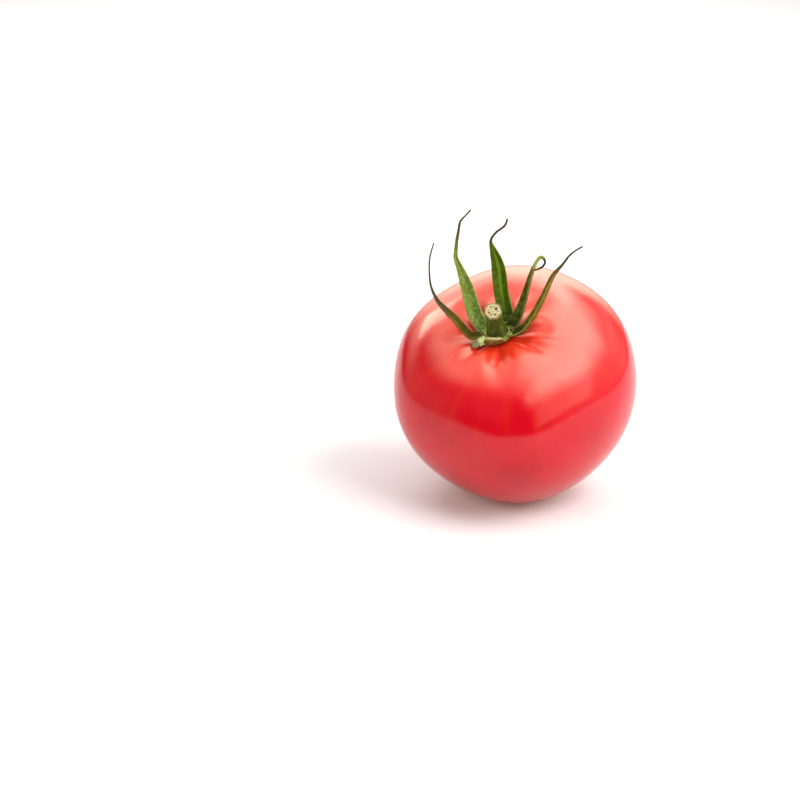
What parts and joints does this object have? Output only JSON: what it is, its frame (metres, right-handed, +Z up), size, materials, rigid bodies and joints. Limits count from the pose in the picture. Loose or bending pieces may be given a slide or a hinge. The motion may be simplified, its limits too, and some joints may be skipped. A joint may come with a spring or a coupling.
{
  "type": "tomato",
  "caption": "Ripe red tomato with its green calyx and a cut stem, lying tilted on a small flat spot.",
  "frame": {"origin": "middle of the small flat spot on the underside of the fruit, where it rests", "axes": "+Z up from the surface that it rests on, -Y towards the side that the calyx leans to, +X to the right seen from there"},
  "size_m": [0.0765, 0.0755, 0.0947],
  "materials": {
    "skin": "smooth waxy red skin with a soft gloss",
    "calyx": "pale green, dull, slightly knobbly",
    "stem": "green, finely hairy, with a pale woody cut end",
    "sepal": "green leaf with a pale edge and a dry grey tip",
    "dry_sepal": "dried leaf, brown and crisp"
  },
  "bodies": {
    "root": {"fruit": "skin", "calyx_disc": "calyx", "stem_stub": "stem", "sepal_far_left": "sepal", "sepal_left": "sepal", "sepal_back": "sepal", "sepal_curled": "sepal", "sepal_right": "sepal", "sepal_front": "dry_sepal", "sepal_broken": "dry_sepal"}
  },
  "joints": []
}
